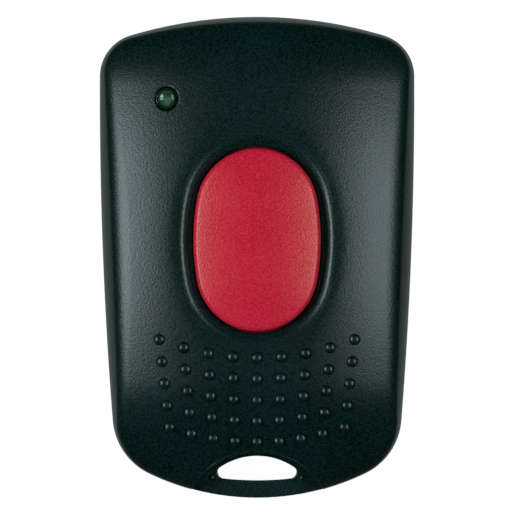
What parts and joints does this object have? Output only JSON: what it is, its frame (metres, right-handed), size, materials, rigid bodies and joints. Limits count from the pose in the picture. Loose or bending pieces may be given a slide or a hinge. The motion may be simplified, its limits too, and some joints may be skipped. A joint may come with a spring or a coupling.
{
  "type": "remote transmitter",
  "caption": "Palm-sized radio transmitter with one large oval thumb button, a status lamp, raised grip domes and a key-ring bar.",
  "frame": {"origin": "middle of the flat back, with the case lying on its back", "axes": "+X across the case, +Y along it towards the status lamp, +Z out of the front through the thumb button"},
  "size_m": [0.0366, 0.056, 0.0141],
  "materials": {
    "case_plastic": "fine spark-eroded black plastic",
    "button_plastic": "fine matt red plastic",
    "plated_steel": "zinc-plated steel",
    "cell_can": "bright nickel-plated steel",
    "sheet_nickel": "nickel-plated sheet",
    "spring_steel": "bright spring steel",
    "tinned_copper": "tinned copper",
    "board_laminate": "green solder mask on glass laminate",
    "switch_plastic": "black switch plastic",
    "lamp_resin": "clear green resin",
    "moulding_compound": "black moulding compound",
    "chip_ceramic": "tan ceramic with tinned ends",
    "resistor_ceramic": "black glazed ceramic with tinned ends",
    "enamelled_copper": "enamelled copper wire"
  },
  "bodies": {
    "root": {"front_cover": "case_plastic", "rear_cover": "case_plastic", "cover_screw": "plated_steel", "coin_cell": "cell_can", "battery_clip": "sheet_nickel", "battery_contact": "sheet_nickel", "circuit_board": "board_laminate", "switch_base": "switch_plastic", "switch_cover": "sheet_nickel", "switch_dome": "spring_steel", "switch_terminals": "tinned_copper", "status_lamp": "lamp_resin", "lamp_leads": "tinned_copper", "encoder_chip": "moulding_compound", "encoder_chip_legs": "tinned_copper", "radio_filter": "cell_can", "clock_crystal": "cell_can", "radio_transistor": "moulding_compound", "radio_transistor_legs": "tinned_copper", "chip_capacitors": "chip_ceramic", "chip_resistors": "resistor_ceramic", "radio_coil": "enamelled_copper", "aerial_wire": "tinned_copper"},
    "thumb_button": {"push_button": "button_plastic"},
    "key_plunger": {"switch_plunger": "switch_plastic"}
  },
  "joints": [
    {"name": "button_press", "type": "slide", "parent": "root", "child": "thumb_button", "axis": [0, 0, -1], "range_m": [0, 0.0003], "stiffness_N_per_m": 1500, "springref_m": -0.0002},
    {"name": "plunger_press", "type": "slide", "parent": "root", "child": "key_plunger", "axis": [0, 0, -1], "range_m": [0, 0.0003], "deforming": ["switch_dome"]}
  ],
  "couplings": [
    {"joint": "plunger_press", "follows": "button_press", "ratio": 1}
  ]
}
